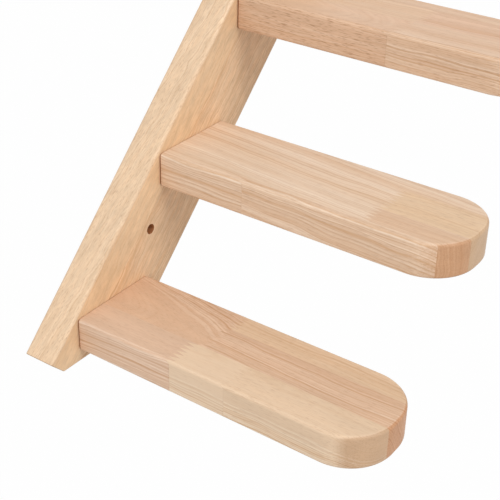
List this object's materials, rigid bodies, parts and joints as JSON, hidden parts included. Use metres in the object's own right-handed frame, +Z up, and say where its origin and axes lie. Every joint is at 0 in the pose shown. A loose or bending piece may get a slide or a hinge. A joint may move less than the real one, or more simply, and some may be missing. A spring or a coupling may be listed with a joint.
{
  "type": "cat wall shelf",
  "caption": "Wooden cat wall shelf: level steps with rounded ends stand out from a slanting stringer board that screws flat to the wall, for a cat to climb.",
  "frame": {"origin": "on the wall, midway between the two wall screw holes", "axes": "+Y into the wall, +Z up, +X to the right as seen from the room; the stringer rises towards +X"},
  "size_m": [0.3111, 0.222, 0.2376],
  "materials": {
    "rubberwood": "clear satin lacquer",
    "zinc_plated_steel": "bright zinc",
    "brass": "turned",
    "beech": "bare"
  },
  "bodies": {
    "root": {"stringer": "rubberwood", "lower_step": "rubberwood", "middle_step": "rubberwood", "upper_step": "rubberwood", "lower_step_left_bolt": "zinc_plated_steel", "lower_step_right_bolt": "zinc_plated_steel", "middle_step_left_bolt": "zinc_plated_steel", "middle_step_right_bolt": "zinc_plated_steel", "upper_step_left_bolt": "zinc_plated_steel", "upper_step_right_bolt": "zinc_plated_steel", "lower_step_left_insert": "brass", "lower_step_right_insert": "brass", "middle_step_left_insert": "brass", "middle_step_right_insert": "brass", "upper_step_left_insert": "brass", "upper_step_right_insert": "brass", "lower_step_left_dowel": "beech", "lower_step_right_dowel": "beech", "middle_step_left_dowel": "beech", "middle_step_right_dowel": "beech", "upper_step_left_dowel": "beech", "upper_step_right_dowel": "beech"}
  },
  "joints": []
}
